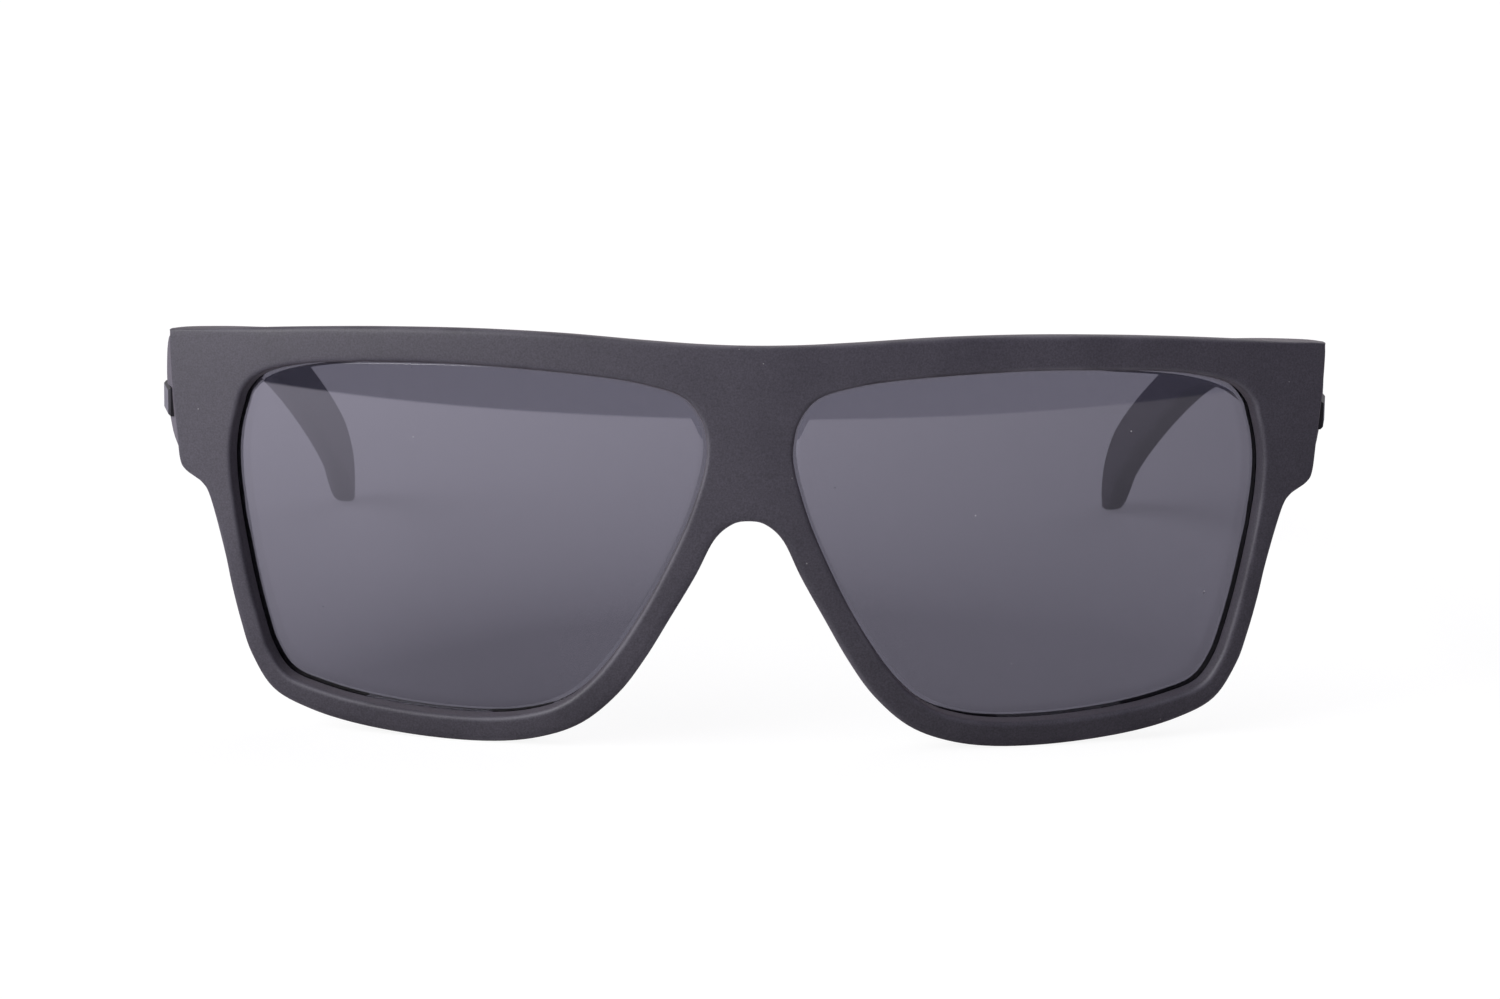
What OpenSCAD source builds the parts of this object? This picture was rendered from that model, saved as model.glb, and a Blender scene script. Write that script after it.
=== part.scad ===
// Sunglasses: a moulded front with two lenses, and two temples on riveted screw hinges.
// X runs across the face with +X at the wearer's left, Y runs from the face back to the
// temple tips, and Z is up. The sunglasses stand on the two rims and the two temple tips.
// The origin is on that surface, at the middle of the overall width and length.

/* [Front] */
// Width over the two end pieces
front_w = 144.8; // [140:0.2:152]
// Width of a lens opening
lens_w = 58.7; // [54:0.1:60]
// Height of a lens opening
lens_h = 44.2; // [40:0.1:48]
// Gap between the two lens openings
bridge_w = 10.6; // [8:0.1:13]
// Height of the nose arch above the surface
arch_z = 29.7; // [26:0.1:33]
// Width of the rim below a lens
rim_w = 3.5; // [3.3:0.1:4.5]
// Width of the rim at the outer side of a lens
rim_side_w = 3.0; // [2.8:0.1:4]
// Width of the rim at the nose
rim_nose_w = 3.3; // [3.2:0.1:4]
// Height of the brow above a lens opening, at its highest
brow_h = 4.7; // [3.6:0.05:8]
// How far the brow dips at the bridge
brow_dip = 1.1; // [0:0.1:2.5]
// How far the brow falls towards the end pieces
brow_fall = 3.3; // [0:0.1:5]
// Thickness of the front, from face to back
front_t = 4.8; // [4.4:0.1:6]
// Radius of the sphere that the face of the front lies on
front_r = 155; // [130:1:260]
// Height of an end piece
end_h = 17.25; // [15:0.05:19]
// How far the flat back of an end piece stands behind the face beside it
end_t = 5.0; // [4.6:0.1:7]
// Depth of a nose pad behind the back of the front
nose_pad_d = 3.6; // [2:0.1:5]

// Radius of the edge round a lens opening
opening_round = 0.6; // [0.4:0.05:1]
// Radius of the outer edge at the face
edge_round = 0.8; // [0.5:0.05:1.2]

/* [Lenses] */
// Thickness of a lens
lens_t = 1.8; // [1.6:0.1:2.2]
// Depth of a lens face behind the face of the front
lens_set = 2.1; // [1.6:0.1:2.2]
// Depth of the groove that holds a lens
groove_d = 1.0; // [0.8:0.05:1.3]
// Gap between a lens edge and the bottom of its groove
lens_edge_gap = 0.3; // [0.25:0.01:0.4]
// Gap between a lens face and the side of its groove
lens_face_gap = 0.06; // [0.04:0.01:0.1]

/* [Temples] */
// Length of a temple from its butt to its tip, measured front to back
temple_l = 126; // [110:0.1:135]
// Height of a temple where it meets the end piece
temple_h = 17.1; // [14.8:0.1:19]
// Height of a temple at its slimmest, above the ear
temple_waist_h = 6.4; // [4.8:0.1:8]
// Height of the paddle that sits behind the ear
temple_tip_h = 8.0; // [6:0.1:9]
// Thickness of a temple at its butt
temple_t = 3.7; // [3.6:0.1:4.6]
// Thickness of a temple above the ear
temple_ear_t = 4.3; // [3.4:0.1:4.8]
// Thickness of the paddle behind the ear
temple_tip_t = 3.8; // [2.8:0.1:4.4]
// How far the outer face of a temple bows out behind the hinge
temple_bow = 1.6; // [0.8:0.1:2]
// Gap between the two temple tips
tips_gap = 109.8; // [96:0.2:120]
// Gap between a temple and the end piece that it butts against
butt_gap = 0.25; // [0.2:0.01:0.4]

/* [Hinges] */
// Radius of the hinge barrels
barrel_r = 1.5; // [1.4:0.05:1.6]
// Length of one hinge barrel
barrel_l = 1.5; // [1.3:0.05:1.6]
// Gap between two hinge barrels
barrel_gap = 0.08; // [0.05:0.01:0.12]
// Radius of the hinge screw
screw_r = 0.7; // [0.6:0.01:0.75]
// Radial gap between the screw and the barrels
screw_gap = 0.04; // [0.02:0.01:0.08]
// Thickness of a hinge leaf
leaf_t = 0.8; // [0.6:0.05:0.9]
// Gap between a temple's inner face and the barrels
leaf_gap = 0.2; // [0.15:0.01:0.3]
// Height of the leaf on the end piece
front_leaf_h = 13; // [12.4:0.1:13.4]
// Width of the leaf on the end piece
front_leaf_w = 3.0; // [2.8:0.1:3.2]
// Height of the leaf on the temple
temple_leaf_h = 8; // [7.6:0.1:9]
// Length of the leaf on the temple
temple_leaf_l = 9; // [8:0.1:12]
// Radius of a hinge rivet
rivet_r = 0.6; // [0.5:0.05:0.65]
// Length of a hinge rivet under its head
rivet_l = 2.4; // [2:0.1:2.5]
// Gap round everything that is let into the plastic
inset_gap = 0.05; // [0.03:0.01:0.1]

/* [Temple cores and side plates] */
// Height of the steel core inside a temple
core_h = 2; // [1.6:0.1:2.4]
// Thickness of the steel core inside a temple
core_t = 0.9; // [0.7:0.05:1]
// Length of a side plate
plate_l = 10; // [8:0.1:14]
// Height of a side plate
plate_h = 3.6; // [3.2:0.1:5]
// How far a side plate stands out of its temple
plate_proud = 0.5; // [0.3:0.05:1.4]
// Radius of the pegs that locate a side plate
peg_r = 0.5; // [0.4:0.05:0.6]

/* [Hidden] */
$fn = 48;

// Depths of the two sides of the lens groove, below the face sphere
groove_front = lens_set - lens_face_gap;
groove_back = lens_set + lens_t + lens_face_gap;

// The lens opening: its centre, and the half sizes that its outline is a share of
lens_cx = bridge_w / 2 + lens_w / 2;
lens_cz = rim_w + lens_h / 2;
sphere_z = lens_cz;                  // height of the sphere's centre

// Brow and end pieces, as heights at the fullest outer edge
brow_x = 30;                         // where the brow is highest
brow_top = rim_w + lens_h + brow_h;
end_x = front_w / 2;
end_top = brow_top - brow_fall;
end_bottom = end_top - end_h;

cut = 1;                             // how far a cut runs out past the face it opens

function sq(v) = v * v;
function mix(a, b, t) = a + (b - a) * t;
function sphere_y(x, z) = front_r - sqrt(sq(front_r) - sq(x) - sq(z - sphere_z));

// A point [x, z] given at depth ref, carried square to the face sphere to depth d
function on_face(p, ref) = [p[0], p[1] - sphere_z] * front_r / (front_r - ref);
function at_depth(q, d) =
    let (k = (front_r - d) / front_r)
    [q[0] * k, front_r - k * sqrt(sq(front_r) - sq(q[0]) - sq(q[1])), sphere_z + q[1] * k];

function brow_z(x) = x < brow_x
    ? brow_top - brow_dip * (1 + cos(180 * x / brow_x)) / 2
    : brow_top - brow_fall * pow((x - brow_x) / (end_x - brow_x), 1.9);

// Pad plane: the flat back of an end piece
pad_y = sphere_y(end_x - 2.5, end_top - end_h / 2) + end_t;

// A rib of the front runs from the lens opening to the outer edge. A row holds the lens
// point as shares u, v of the half width and half height, then the outer point x, z, then
// how much of an end piece and of a nose pad the rib carries.
function lens_pt(u, v) = [lens_cx + u * lens_w / 2, lens_cz + v * lens_h / 2];
function rib(u, v, x, z, pad = 0, nose = 0) =
    let (p = lens_pt(u, v)) [p[0], p[1], x, z, pad, nose];
// A rib of the plain rim, of width w, that leaves the lens at an angle
function rim(u, v, angle, w = rim_w, nose = 0) =
    let (p = lens_pt(u, v)) [p[0], p[1], p[0] + w * cos(angle), p[1] + w * sin(angle), 0, nose];
// A rib that reaches the brow at a share of the half width
function brow(u, v, share, pad = 0) = rib(u, v, share * end_x, brow_z(share * end_x), pad);

RIBS = [
    brow(-0.90, 0.865, 0),
    brow(-0.76, 0.925, 0.09),
    brow(-0.58, 0.962, 0.186),
    brow(-0.30, 0.988, 0.331),
    brow(0.02, 1.0, 0.483),
    brow(0.33, 0.986, 0.635),
    brow(0.59, 0.955, 0.76),
    brow(0.76, 0.900, 0.85),
    brow(0.865, 0.830, 0.932, 0.5),
    rib(0.93, 0.750, end_x - 0.5, end_top + 0.15, 1),
    rib(0.96, 0.680, end_x, end_top - 0.45, 1),
    rib(0.99, 0.555, end_x - 0.15, end_top - 0.25 * end_h, 1),
    rib(1.00, 0.430, end_x - 0.5, end_top - 0.48 * end_h, 1),
    rib(0.998, 0.310, end_x - 0.95, end_top - 0.71 * end_h, 1),
    rib(0.992, 0.215, end_x - 1.35, end_bottom + 1.4, 1),
    rib(0.985, 0.150, end_x - 2.1, end_bottom + 0.1, 1),
    rib(0.978, 0.085, end_x - 4.0, end_bottom - 1.0, 0.8),
    rib(0.968, 0.005, end_x - 5.2, end_bottom - 3.0, 0.3),
    rim(0.948, -0.140, -11, rim_side_w),
    rim(0.918, -0.330, -13, rim_side_w),
    rim(0.880, -0.530, -15, rim_side_w),
    rim(0.838, -0.700, -22, rim_side_w),
    rim(0.765, -0.840, -48, mix(rim_side_w, rim_w, 0.4)),
    rim(0.640, -0.905, -70, mix(rim_side_w, rim_w, 0.8)),
    rim(0.440, -0.960, -80),
    rim(0.160, -0.996, -88),
    rim(-0.110, -0.996, -92),
    rim(-0.290, -0.956, -105),
    rim(-0.425, -0.880, -124),
    rim(-0.545, -0.735, -143),
    rim(-0.650, -0.545, -150, mix(rim_w, rim_nose_w, 0.5), 0.4),
    rim(-0.755, -0.310, -154, rim_nose_w, 1),
    rim(-0.845, -0.070, -157, rim_nose_w + 0.3, 1),
    rib(-0.915, 0.140, 4.3, arch_z - 2.5, 0, 0.4),
    rib(-0.960, 0.310, 2.1, arch_z - 0.45),
    rib(-0.995, 0.480, 0, arch_z),
    rib(-1.0, 0.610, 0, mix(arch_z, brow_z(0), 0.35)),
    rib(-0.975, 0.745, 0, mix(arch_z, brow_z(0), 0.7))
];
SEAM = 35;                           // first of the ribs whose outer point is on the middle
RIB_STEPS = 2;                       // stations for each rib

// Smooth curve through rows of numbers, with the tangents of a Catmull-Rom spline
function hermite(a, b, ta, tb, t) =
    a * (2 * t * t * t - 3 * t * t + 1) + ta * (t * t * t - 2 * t * t + t)
    + b * (3 * t * t - 2 * t * t * t) + tb * (t * t * t - t * t);

// At the middle the outer edge runs level into its mirror image
function level(d, row) = [row[0], row[1], d[2], 0, row[4], row[5]];
function rib_tangent(i, before) =
    let (n = len(RIBS), a = RIBS[(i + n - 1) % n], b = RIBS[i % n], c = RIBS[(i + 1) % n], m = (c - a) / 2)
    (i % n == SEAM || i % n == 0) ? level(before ? b - a : c - b, m) : m;
function station_row(k) =
    let (n = len(RIBS), i = floor(k / RIB_STEPS), t = k / RIB_STEPS - i)
    hermite(RIBS[i], RIBS[(i + 1) % n], rib_tangent(i, false), rib_tangent(i + 1, true), t);

STATIONS = len(RIBS) * RIB_STEPS;
SEAM_K = SEAM * RIB_STEPS;

// The section of a rib, from the lens round to the groove. Each point is an inset in mm
// from the lens opening (end 0), from the outer edge (end 1) or halfway (end 0.5), then its
// depth, then its gap from the pad plane on an end piece, or -1 where that has no say, then
// how far a nose pad moves it in from the edge and back.
SECTION = [
    [0, 0, opening_round, -1, 0, 0],
    [0, opening_round * 0.29, opening_round * 0.29, -1, 0, 0],
    [0, opening_round, 0.02, -1, 0, 0],
    [0.5, 0, 0, -1, 0, 0],
    [1, edge_round, 0.02, -1, 0, 0],
    [1, edge_round * 0.29, edge_round * 0.29, -1, 0, 0],
    [1, 0, edge_round, -1, 0, 0],
    [1, 0, front_t - 1.1, 0.9, 0.2, 0.4],
    [1, 0.25, front_t - 0.35, 0.3, 0.5, 0.85],
    [1, 0.8, front_t, 0, 0.8, 1],
    [0, 1.9, front_t, 0, -0.7, 0.5],
    [0, 1.2, front_t, -1, -0.4, 0],
    [0, 0.35, front_t - 0.4, -1, -0.3, 0],
    [0, 0, groove_back, -1, 0, 0],
    [0, groove_d, groove_back, -1, 0, 0],
    [0, groove_d, groove_front, -1, 0, 0],
    [0, 0, groove_front, -1, 0, 0]
];
WALL_FIRST = 4;                      // section points 4 to 9 make the outer edge
WALL_LAST = 9;

// Direction from the outer edge into the rib, and whether the edge is rounded there
function seam_end(k) = k % STATIONS == 0 ? -1 : k == SEAM_K ? 1 : 0;
function on_seam(k) = k % STATIONS == 0 || k >= SEAM_K;
function section_point(k, s) =
    let (row = station_row(k),
         lens = on_face([row[0], row[1]], lens_set),
         edge = on_face([row[2], row[3]], edge_round),
         across = (edge - lens) / norm(edge - lens),
         inward = on_seam(k) ? [0, seam_end(k)] : -across,
         open = (!on_seam(k) || seam_end(k) != 0) ? 1 : 0,
         pad = row[4], nose = row[5],
         inset = s[1] + s[4] * nose,
         q = s[0] == 0 ? lens + across * inset
           : s[0] == 1 ? edge + inward * inset * open
           : (lens + edge) / 2,
         d = s[2] * ((s[0] == 1 && s[2] < edge_round) ? open : 1) + s[5] * nose * nose_pad_d,
         p = at_depth(q, d),
         own = (front_r - edge_round) / front_r)
    (s[3] < 0 || pad == 0) ? p
        : mix(p, [q[0] * own, pad_y - s[3], sphere_z + q[1] * own], pad);

module front_shell() {
    n = len(SECTION);
    half = [for (k = [0:STATIONS - 1]) for (s = SECTION) section_point(k, s)];
    points = concat(half, [for (p = half) [-p[0], p[1], p[2]]]);
    quads = [for (k = [0:STATIONS - 1]) for (j = [0:n - 1])
             if (!(k >= SEAM_K && j >= WALL_FIRST && j < WALL_LAST))
             let (k2 = (k + 1) % STATIONS, j2 = (j + 1) % n)
             [k * n + j, k * n + j2, k2 * n + j2, k2 * n + j]];
    m = len(half);
    right = [for (q = quads) for (t = [[0, 1, 2], [0, 2, 3]]) [for (c = t) q[c]]];
    left = [for (t = right) [t[2] + m, t[1] + m, t[0] + m]];
    polyhedron(points, concat(right, left), convexity = 10);
}

// Everything is placed with the face at y = 0, then moved so the origin is at the middle
temple_shy = 0.05;                   // a temple's butt is this much inside the end piece
temple_face_x = end_x - temple_shy - temple_t; // inner face of a temple at its butt
butt_y = pad_y + butt_gap;
overall_l = butt_y + temple_l;
module placed() translate([0, -overall_l / 2, 0]) children();
module sided(side) placed() mirror([side < 0 ? 1 : 0, 0, 0]) children();

// Hinge axis and the levels of its five barrels
axis_x = temple_face_x - barrel_r - leaf_gap;
axis_y = pad_y + barrel_r + leaf_gap;
hinge_z = end_top - end_h / 2;
stack_h = 5 * barrel_l + 4 * barrel_gap;
function barrel_z(i) = hinge_z - stack_h / 2 + i * (barrel_l + barrel_gap);

module front_leaf_place() translate([axis_x, pad_y, hinge_z]) children();

module front_leaf_pocket() front_leaf_place()
    translate([-front_leaf_w / 2 - inset_gap, -leaf_t - inset_gap, -front_leaf_h / 2 - inset_gap])
        cube([front_leaf_w + 2 * inset_gap, leaf_t + cut, front_leaf_h + 2 * inset_gap]);

// Centres of the two rivets through each leaf
front_rivet_z = (stack_h / 2 + front_leaf_h / 2) / 2;
module at_front_rivets() front_leaf_place()
    for (s = [-1, 1]) translate([0, 0, s * front_rivet_z]) rotate([90, 0, 0]) children();

module front_frame() {
    color("dimgray") placed() difference() {
        front_shell();
        for (side = [0, 1]) mirror([side, 0, 0]) {
            front_leaf_pocket();
            at_front_rivets() cylinder(r = rivet_r + inset_gap, h = rivet_l + inset_gap);
        }
    }
}

// A lens is cut square to its own axis, so its edge is a straight wall
lens_turn = asin(lens_cx / front_r);
lens_mid = lens_set + lens_t / 2;
module lens(side) {
    color("#4a4652", 0.75) sided(side) intersection() {
        translate([0, front_r, sphere_z]) rotate([90, 0, lens_turn])
            linear_extrude(front_r) polygon([for (k = [0:STATIONS - 1])
                let (row = station_row(k),
                     inner = on_face([row[0], row[1]], lens_set),
                     outer = on_face([row[2], row[3]], edge_round),
                     q = inner + (outer - inner) / norm(outer - inner) * (groove_d - lens_edge_gap),
                     p = at_depth(q, lens_mid))
                [p[0] * cos(lens_turn) + (p[1] - front_r) * sin(lens_turn), p[2] - sphere_z]]);
        translate([0, front_r, sphere_z]) difference() {
            sphere(r = front_r - lens_set, $fn = 360);
            sphere(r = front_r - lens_set - lens_t, $fn = 360);
        }
    }
}

// Hinge barrels: the front leaf carries the first, third and fifth, the temple leaf the others
module barrel(i) translate([axis_x, axis_y, barrel_z(i)]) cylinder(r = barrel_r, h = barrel_l);
module pin_hole() translate([axis_x, axis_y, hinge_z - stack_h])
    cylinder(r = screw_r + screw_gap, h = 2 * stack_h);

// The screw head is let into the top barrel
head_r = screw_r + 0.4;
head_h = 0.7;
slot_w = 0.3;
slot_d = 0.35;
module head_hole() translate([axis_x, axis_y, hinge_z + stack_h / 2 - head_h - inset_gap])
    cylinder(r = head_r + screw_gap, h = head_h + cut);

rivet_head_r = rivet_r + 0.4;
rivet_head_h = 0.35;
rivet_gap = 0.02;                    // round a rivet in its leaf

module front_hinge_leaf(side) {
    color("silver") sided(side) difference() {
        union() {
            front_leaf_place() translate([-front_leaf_w / 2, -leaf_t, -front_leaf_h / 2])
                cube([front_leaf_w, leaf_t, front_leaf_h]);
            for (i = [0, 2, 4]) {
                barrel(i);
                // Web from the barrel to the leaf
                translate([axis_x - barrel_r, pad_y - leaf_t / 2, barrel_z(i)])
                    cube([barrel_r * 1.6, axis_y - pad_y + leaf_t / 2, barrel_l]);
            }
        }
        pin_hole();
        head_hole();
        at_front_rivets() cylinder(r = rivet_r + rivet_gap, h = 4 * leaf_t, center = true);
    }
}

module rivet() {
    cylinder(r = rivet_r, h = rivet_l);
    translate([0, 0, -rivet_head_h]) cylinder(r = rivet_head_r, h = rivet_head_h);
}

module front_hinge_rivets(side) color("silver") sided(side) at_front_rivets() rivet();

module hinge_screw(side) {
    top = hinge_z + stack_h / 2;
    color("lightgray") sided(side) translate([axis_x, axis_y, 0]) difference() {
        union() {
            translate([0, 0, top - stack_h]) cylinder(r = screw_r, h = stack_h);
            translate([0, 0, top - head_h]) cylinder(r = head_r, h = head_h);
        }
        // Driver slot
        translate([-2 * head_r, -slot_w / 2, top - slot_d]) cube([4 * head_r, slot_w, slot_d + cut]);
    }
}

// A temple follows a spine. Each row of the spine holds the share of the temple's length,
// of its fall to the surface, of its turn towards the head and of its outward bow, then its
// height and thickness, then how far its section has turned square to the spine.
temple_tip_lift = 1.0;               // middle of the last section, above the surface
temple_tip_x = tips_gap / 2;
spine_l = temple_l - temple_tip_lift; // the last section leans back over the rest
function waist(t) = mix(temple_h, temple_waist_h, t);
function paddle(t) = mix(temple_waist_h, temple_tip_h, t);
SPINE = [
    [0.000, 0.000, 0.000, 0.00, temple_h, temple_t, 0],
    [0.083, 0.025, 0.000, 1.00, waist(0.2), temple_t, 0.4],
    [0.178, 0.054, 0.011, 0.80, waist(0.42), temple_t, 1],
    [0.282, 0.092, 0.055, 0.35, waist(0.63), mix(temple_t, temple_ear_t, 0.35), 1],
    [0.386, 0.126, 0.156, 0.08, waist(0.83), mix(temple_t, temple_ear_t, 0.75), 1],
    [0.474, 0.155, 0.265, 0.00, waist(0.955), temple_ear_t, 1],
    [0.554, 0.200, 0.367, 0.00, waist(0.99), temple_ear_t, 1],
    [0.626, 0.275, 0.469, 0.00, temple_waist_h, temple_ear_t, 1],
    [0.706, 0.384, 0.585, 0.00, paddle(0.13), mix(temple_ear_t, temple_tip_t, 0.1), 1],
    [0.786, 0.506, 0.700, 0.00, paddle(0.33), mix(temple_ear_t, temple_tip_t, 0.3), 1],
    [0.866, 0.646, 0.825, 0.00, paddle(0.69), mix(temple_ear_t, temple_tip_t, 0.7), 1],
    [0.926, 0.774, 0.927, 0.00, temple_tip_h, temple_tip_t, 1],
    [0.962, 0.877, 0.978, 0.00, temple_tip_h * 0.985, temple_tip_t, 1],
    [0.986, 0.955, 0.996, 0.00, temple_tip_h * 0.81, temple_tip_t * 0.9, 1],
    [1.000, 1.000, 1.000, 0.00, temple_tip_h * 0.352, temple_tip_t * 0.55, 1]
];
SPINE_STEPS = 3;                     // stations for each row of the spine

function spine_tangent(i) =
    i == 0 ? SPINE[1] - SPINE[0]
    : i == len(SPINE) - 1 ? SPINE[i] - SPINE[i - 1]
    : (SPINE[i + 1] - SPINE[i - 1]) / 2;
function spine_row(t) =
    let (i = max(0, min(floor(t), len(SPINE) - 2)))
    hermite(SPINE[i], SPINE[i + 1], spine_tangent(i), spine_tangent(i + 1), t - i);

// Middle of the inner face at a spine row, and the downward slope there
function spine_point(r) = [
    mix(temple_face_x, temple_tip_x, r[2]),
    butt_y + r[0] * spine_l,
    mix(hinge_z, temple_tip_lift, r[1])];
function spine_slope(t) =
    let (a = spine_point(spine_row(max(t - 0.1, 0))),
         b = spine_point(spine_row(min(t + 0.1, len(SPINE) - 1))))
    atan2(a[2] - b[2], b[1] - a[1]);

// Outline of a temple's section: shares of its thickness and of half its height. The
// inner face is flat, the outer face is crowned and leans in at the bottom.
TEMPLE_SECTION = [
    [0, -0.82], [0, 0.82], [0.05, 0.93], [0.18, 1.0], [0.62, 1.0], [0.84, 0.95], [0.96, 0.83],
    [1.0, 0.55], [1.0, 0.1], [0.95, -0.35], [0.86, -0.72], [0.72, -0.93], [0.48, -1.0],
    [0.18, -1.0], [0.05, -0.94]
];

function temple_outline(r) =
    [for (p = TEMPLE_SECTION) [p[0] * (r[5] + r[3] * temple_bow), p[1] * r[4] / 2]];

// Points of a loft along the spine, from t0 to t1. outline gives a section's points for a
// spine row: how far out from the inner face, and how far up from the spine.
function loft_rows(t0, t1, steps, outline) = [
    for (i = [0:steps])
    let (t = mix(t0, t1, i / steps), r = spine_row(t), c = spine_point(r), turn = spine_slope(t) * r[6])
    [for (p = outline(r)) c + [p[0], p[1] * sin(turn), p[1] * cos(turn)]]];

module loft(rows) {
    n = len(rows[0]);
    m = len(rows);
    walls = [for (i = [0:m - 2]) for (j = [0:n - 1])
        let (a = i * n + j, b = i * n + (j + 1) % n, c = b + n, d = a + n)
        each [[a, c, b], [a, d, c]]];
    ends = [[for (j = [0:n - 1]) j], [for (j = [n - 1:-1:0]) (m - 1) * n + j]];
    polyhedron([for (r = rows) each r], concat(walls, ends), convexity = 10);
}

// The steel core lies in the middle of the thickness, behind the butt
core_in = (temple_t - core_t) / 2;
core_end = 10.2;                     // spine row where the core stops
module core(gap, from) {
    outline = function(r) [for (p = [[0, -1], [0, 1], [1, 1], [1, -1]])
        [core_in + p[0] * core_t + (2 * p[0] - 1) * gap, p[1] * (core_h / 2 + gap)]];
    loft(loft_rows(from, core_end + gap, 36, outline));
}

// Temple hinge leaf, flush in the inner face
temple_leaf_y = axis_y - 0.3;
module temple_leaf_plate(gap, open = 0) {
    translate([temple_face_x - open, temple_leaf_y - gap, hinge_z - temple_leaf_h / 2 - gap])
        cube([leaf_t + gap + open, temple_leaf_l + 2 * gap, temple_leaf_h + 2 * gap]);
}
rivet_edge = 1.15;                   // from a rivet's middle to the edge of its leaf
temple_rivet_y = temple_leaf_y + temple_leaf_l - 3 * rivet_edge;
temple_rivet_z = temple_leaf_h / 2 - rivet_edge;
module at_temple_rivets()
    for (s = [-1, 1]) translate([temple_face_x, temple_rivet_y, hinge_z + s * temple_rivet_z])
        rotate([0, 90, 0]) children();

module temple_hinge_leaf(side) {
    color("silver") sided(side) difference() {
        union() {
            temple_leaf_plate(0);
            for (i = [1, 3]) {
                barrel(i);
                // Web from the barrel to the leaf
                translate([axis_x, axis_y - barrel_r * 0.1, barrel_z(i)])
                    cube([temple_face_x - axis_x + leaf_t / 2, barrel_r * 1.1, barrel_l]);
            }
        }
        pin_hole();
        at_temple_rivets() cylinder(r = rivet_r + rivet_gap, h = 4 * leaf_t, center = true);
    }
}

module temple_hinge_rivets(side) color("silver") sided(side) at_temple_rivets() rivet();

// A side plate lies in a shallow pocket in the outer face, along the spine
plate_start = 2.2;                   // from the butt to the plate
plate_let_in = 0.4;                  // depth of its pocket
plate_drop = 1.3;                    // from the spine down to its middle
peg_l = 0.9;
function spine_t_at(y) = lookup((y - butt_y) / spine_l, [for (i = [0:len(SPINE) - 1]) [SPINE[i][0], i]]);
function outer_point(y) =
    let (r = spine_row(spine_t_at(y)), c = spine_point(r))
    c + [r[5] + r[3] * temple_bow, 0, -plate_drop];
plate_a = outer_point(butt_y + plate_start);
plate_b = outer_point(butt_y + plate_start + plate_l);
module plate_place()
    translate((plate_a + plate_b) / 2)
        rotate([atan2(plate_b[2] - plate_a[2], plate_b[1] - plate_a[1]), 0,
                -atan2(plate_b[0] - plate_a[0], plate_b[1] - plate_a[1])]) children();
module plate_pegs(gap)
    for (s = [-1, 1]) translate([-plate_let_in, s * plate_l * 0.3, 0]) rotate([0, -90, 0])
        cylinder(r = peg_r + gap, h = peg_l + gap);
module plate_pocket() {
    plate_place() {
        translate([-plate_let_in - inset_gap, -plate_l / 2 - inset_gap, -plate_h / 2 - inset_gap])
            cube([plate_let_in + plate_proud + cut, plate_l + 2 * inset_gap, plate_h + 2 * inset_gap]);
        plate_pegs(inset_gap);
    }
}

// Bevelled on all four sides
plate_bevel = 0.3;
module bevelled(w, h) polygon([
    [-plate_let_in, -w / 2], [plate_proud - h, -w / 2], [plate_proud, -w / 2 + h],
    [plate_proud, w / 2 - h], [plate_proud - h, w / 2], [-plate_let_in, w / 2]]);
module temple_side_plate(side) {
    color("#1c1c1f") sided(side) plate_place() {
        intersection() {
            translate([0, 0, -plate_h]) linear_extrude(2 * plate_h) bevelled(plate_l, plate_bevel);
            translate([0, plate_l, 0]) rotate([90, 0, 0]) linear_extrude(2 * plate_l)
                bevelled(plate_h, plate_bevel);
        }
        plate_pegs(0);
    }
}

module temple(side) {
    color("#4f4e53") sided(side) difference() {
        loft(loft_rows(0, len(SPINE) - 1, (len(SPINE) - 1) * SPINE_STEPS, function(r) temple_outline(r)));
        core(inset_gap, -0.05);
        temple_leaf_plate(inset_gap, cut);
        at_temple_rivets() cylinder(r = rivet_r + inset_gap, h = rivet_l + inset_gap);
        plate_pocket();
    }
}

module temple_core_wire(side) color("gainsboro") sided(side) core(0, 0.05);

front_frame();
lens(1);  // left_lens
lens(-1);  // right_lens
front_hinge_leaf(1);  // left_front_hinge_leaf
front_hinge_leaf(-1);  // right_front_hinge_leaf
front_hinge_rivets(1);  // left_front_hinge_rivets
front_hinge_rivets(-1);  // right_front_hinge_rivets
temple(1);  // left_temple
temple(-1);  // right_temple
temple_hinge_leaf(1);  // left_temple_hinge_leaf
temple_hinge_leaf(-1);  // right_temple_hinge_leaf
temple_hinge_rivets(1);  // left_temple_hinge_rivets
temple_hinge_rivets(-1);  // right_temple_hinge_rivets
temple_core_wire(1);  // left_temple_core_wire
temple_core_wire(-1);  // right_temple_core_wire
temple_side_plate(1);  // left_temple_side_plate
temple_side_plate(-1);  // right_temple_side_plate
hinge_screw(1);  // left_hinge_screw
hinge_screw(-1);  // right_hinge_screw
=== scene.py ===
# %% [markdown]
# # Sunglasses
# This lesson dresses a pair of flat-top sunglasses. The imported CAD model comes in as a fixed
# frame: it holds every size, the two temple hinges and what moves with them. Here the large
# moulded pieces are drawn again with enough points for a close look, the small steel pieces
# keep their CAD meshes, and everything gets its material, its light and the photograph's camera.

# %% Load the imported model
import math

import bmesh
import bpy
import numpy as np
from mathutils import Matrix, Vector


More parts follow.
